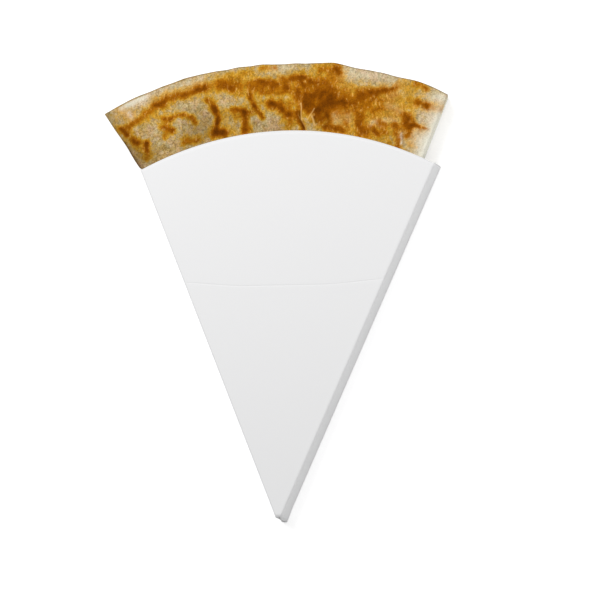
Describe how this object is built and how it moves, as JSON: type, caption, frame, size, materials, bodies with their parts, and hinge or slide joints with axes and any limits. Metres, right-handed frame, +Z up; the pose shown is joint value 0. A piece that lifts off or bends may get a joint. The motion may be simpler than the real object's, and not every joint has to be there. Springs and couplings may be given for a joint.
{
  "type": "crepe cone",
  "caption": "Folded crepe in a flat wedge-shaped takeaway sleeve of white card, with a scored tear line, lying on its back panel.",
  "frame": {"origin": "middle of the footprint's bounding box, on the surface that the back panel lies on", "axes": "+Y runs from the tip of the sleeve to its mouth, +Z is up, out of the front panel, and +X is to the right seen from above with the mouth away from the viewer"},
  "size_m": [0.1602, 0.2056, 0.012],
  "materials": {
    "card": "matte",
    "crepe": "matte"
  },
  "bodies": {
    "root": {"card_sleeve": "card", "folded_crepe": "crepe"}
  },
  "joints": []
}
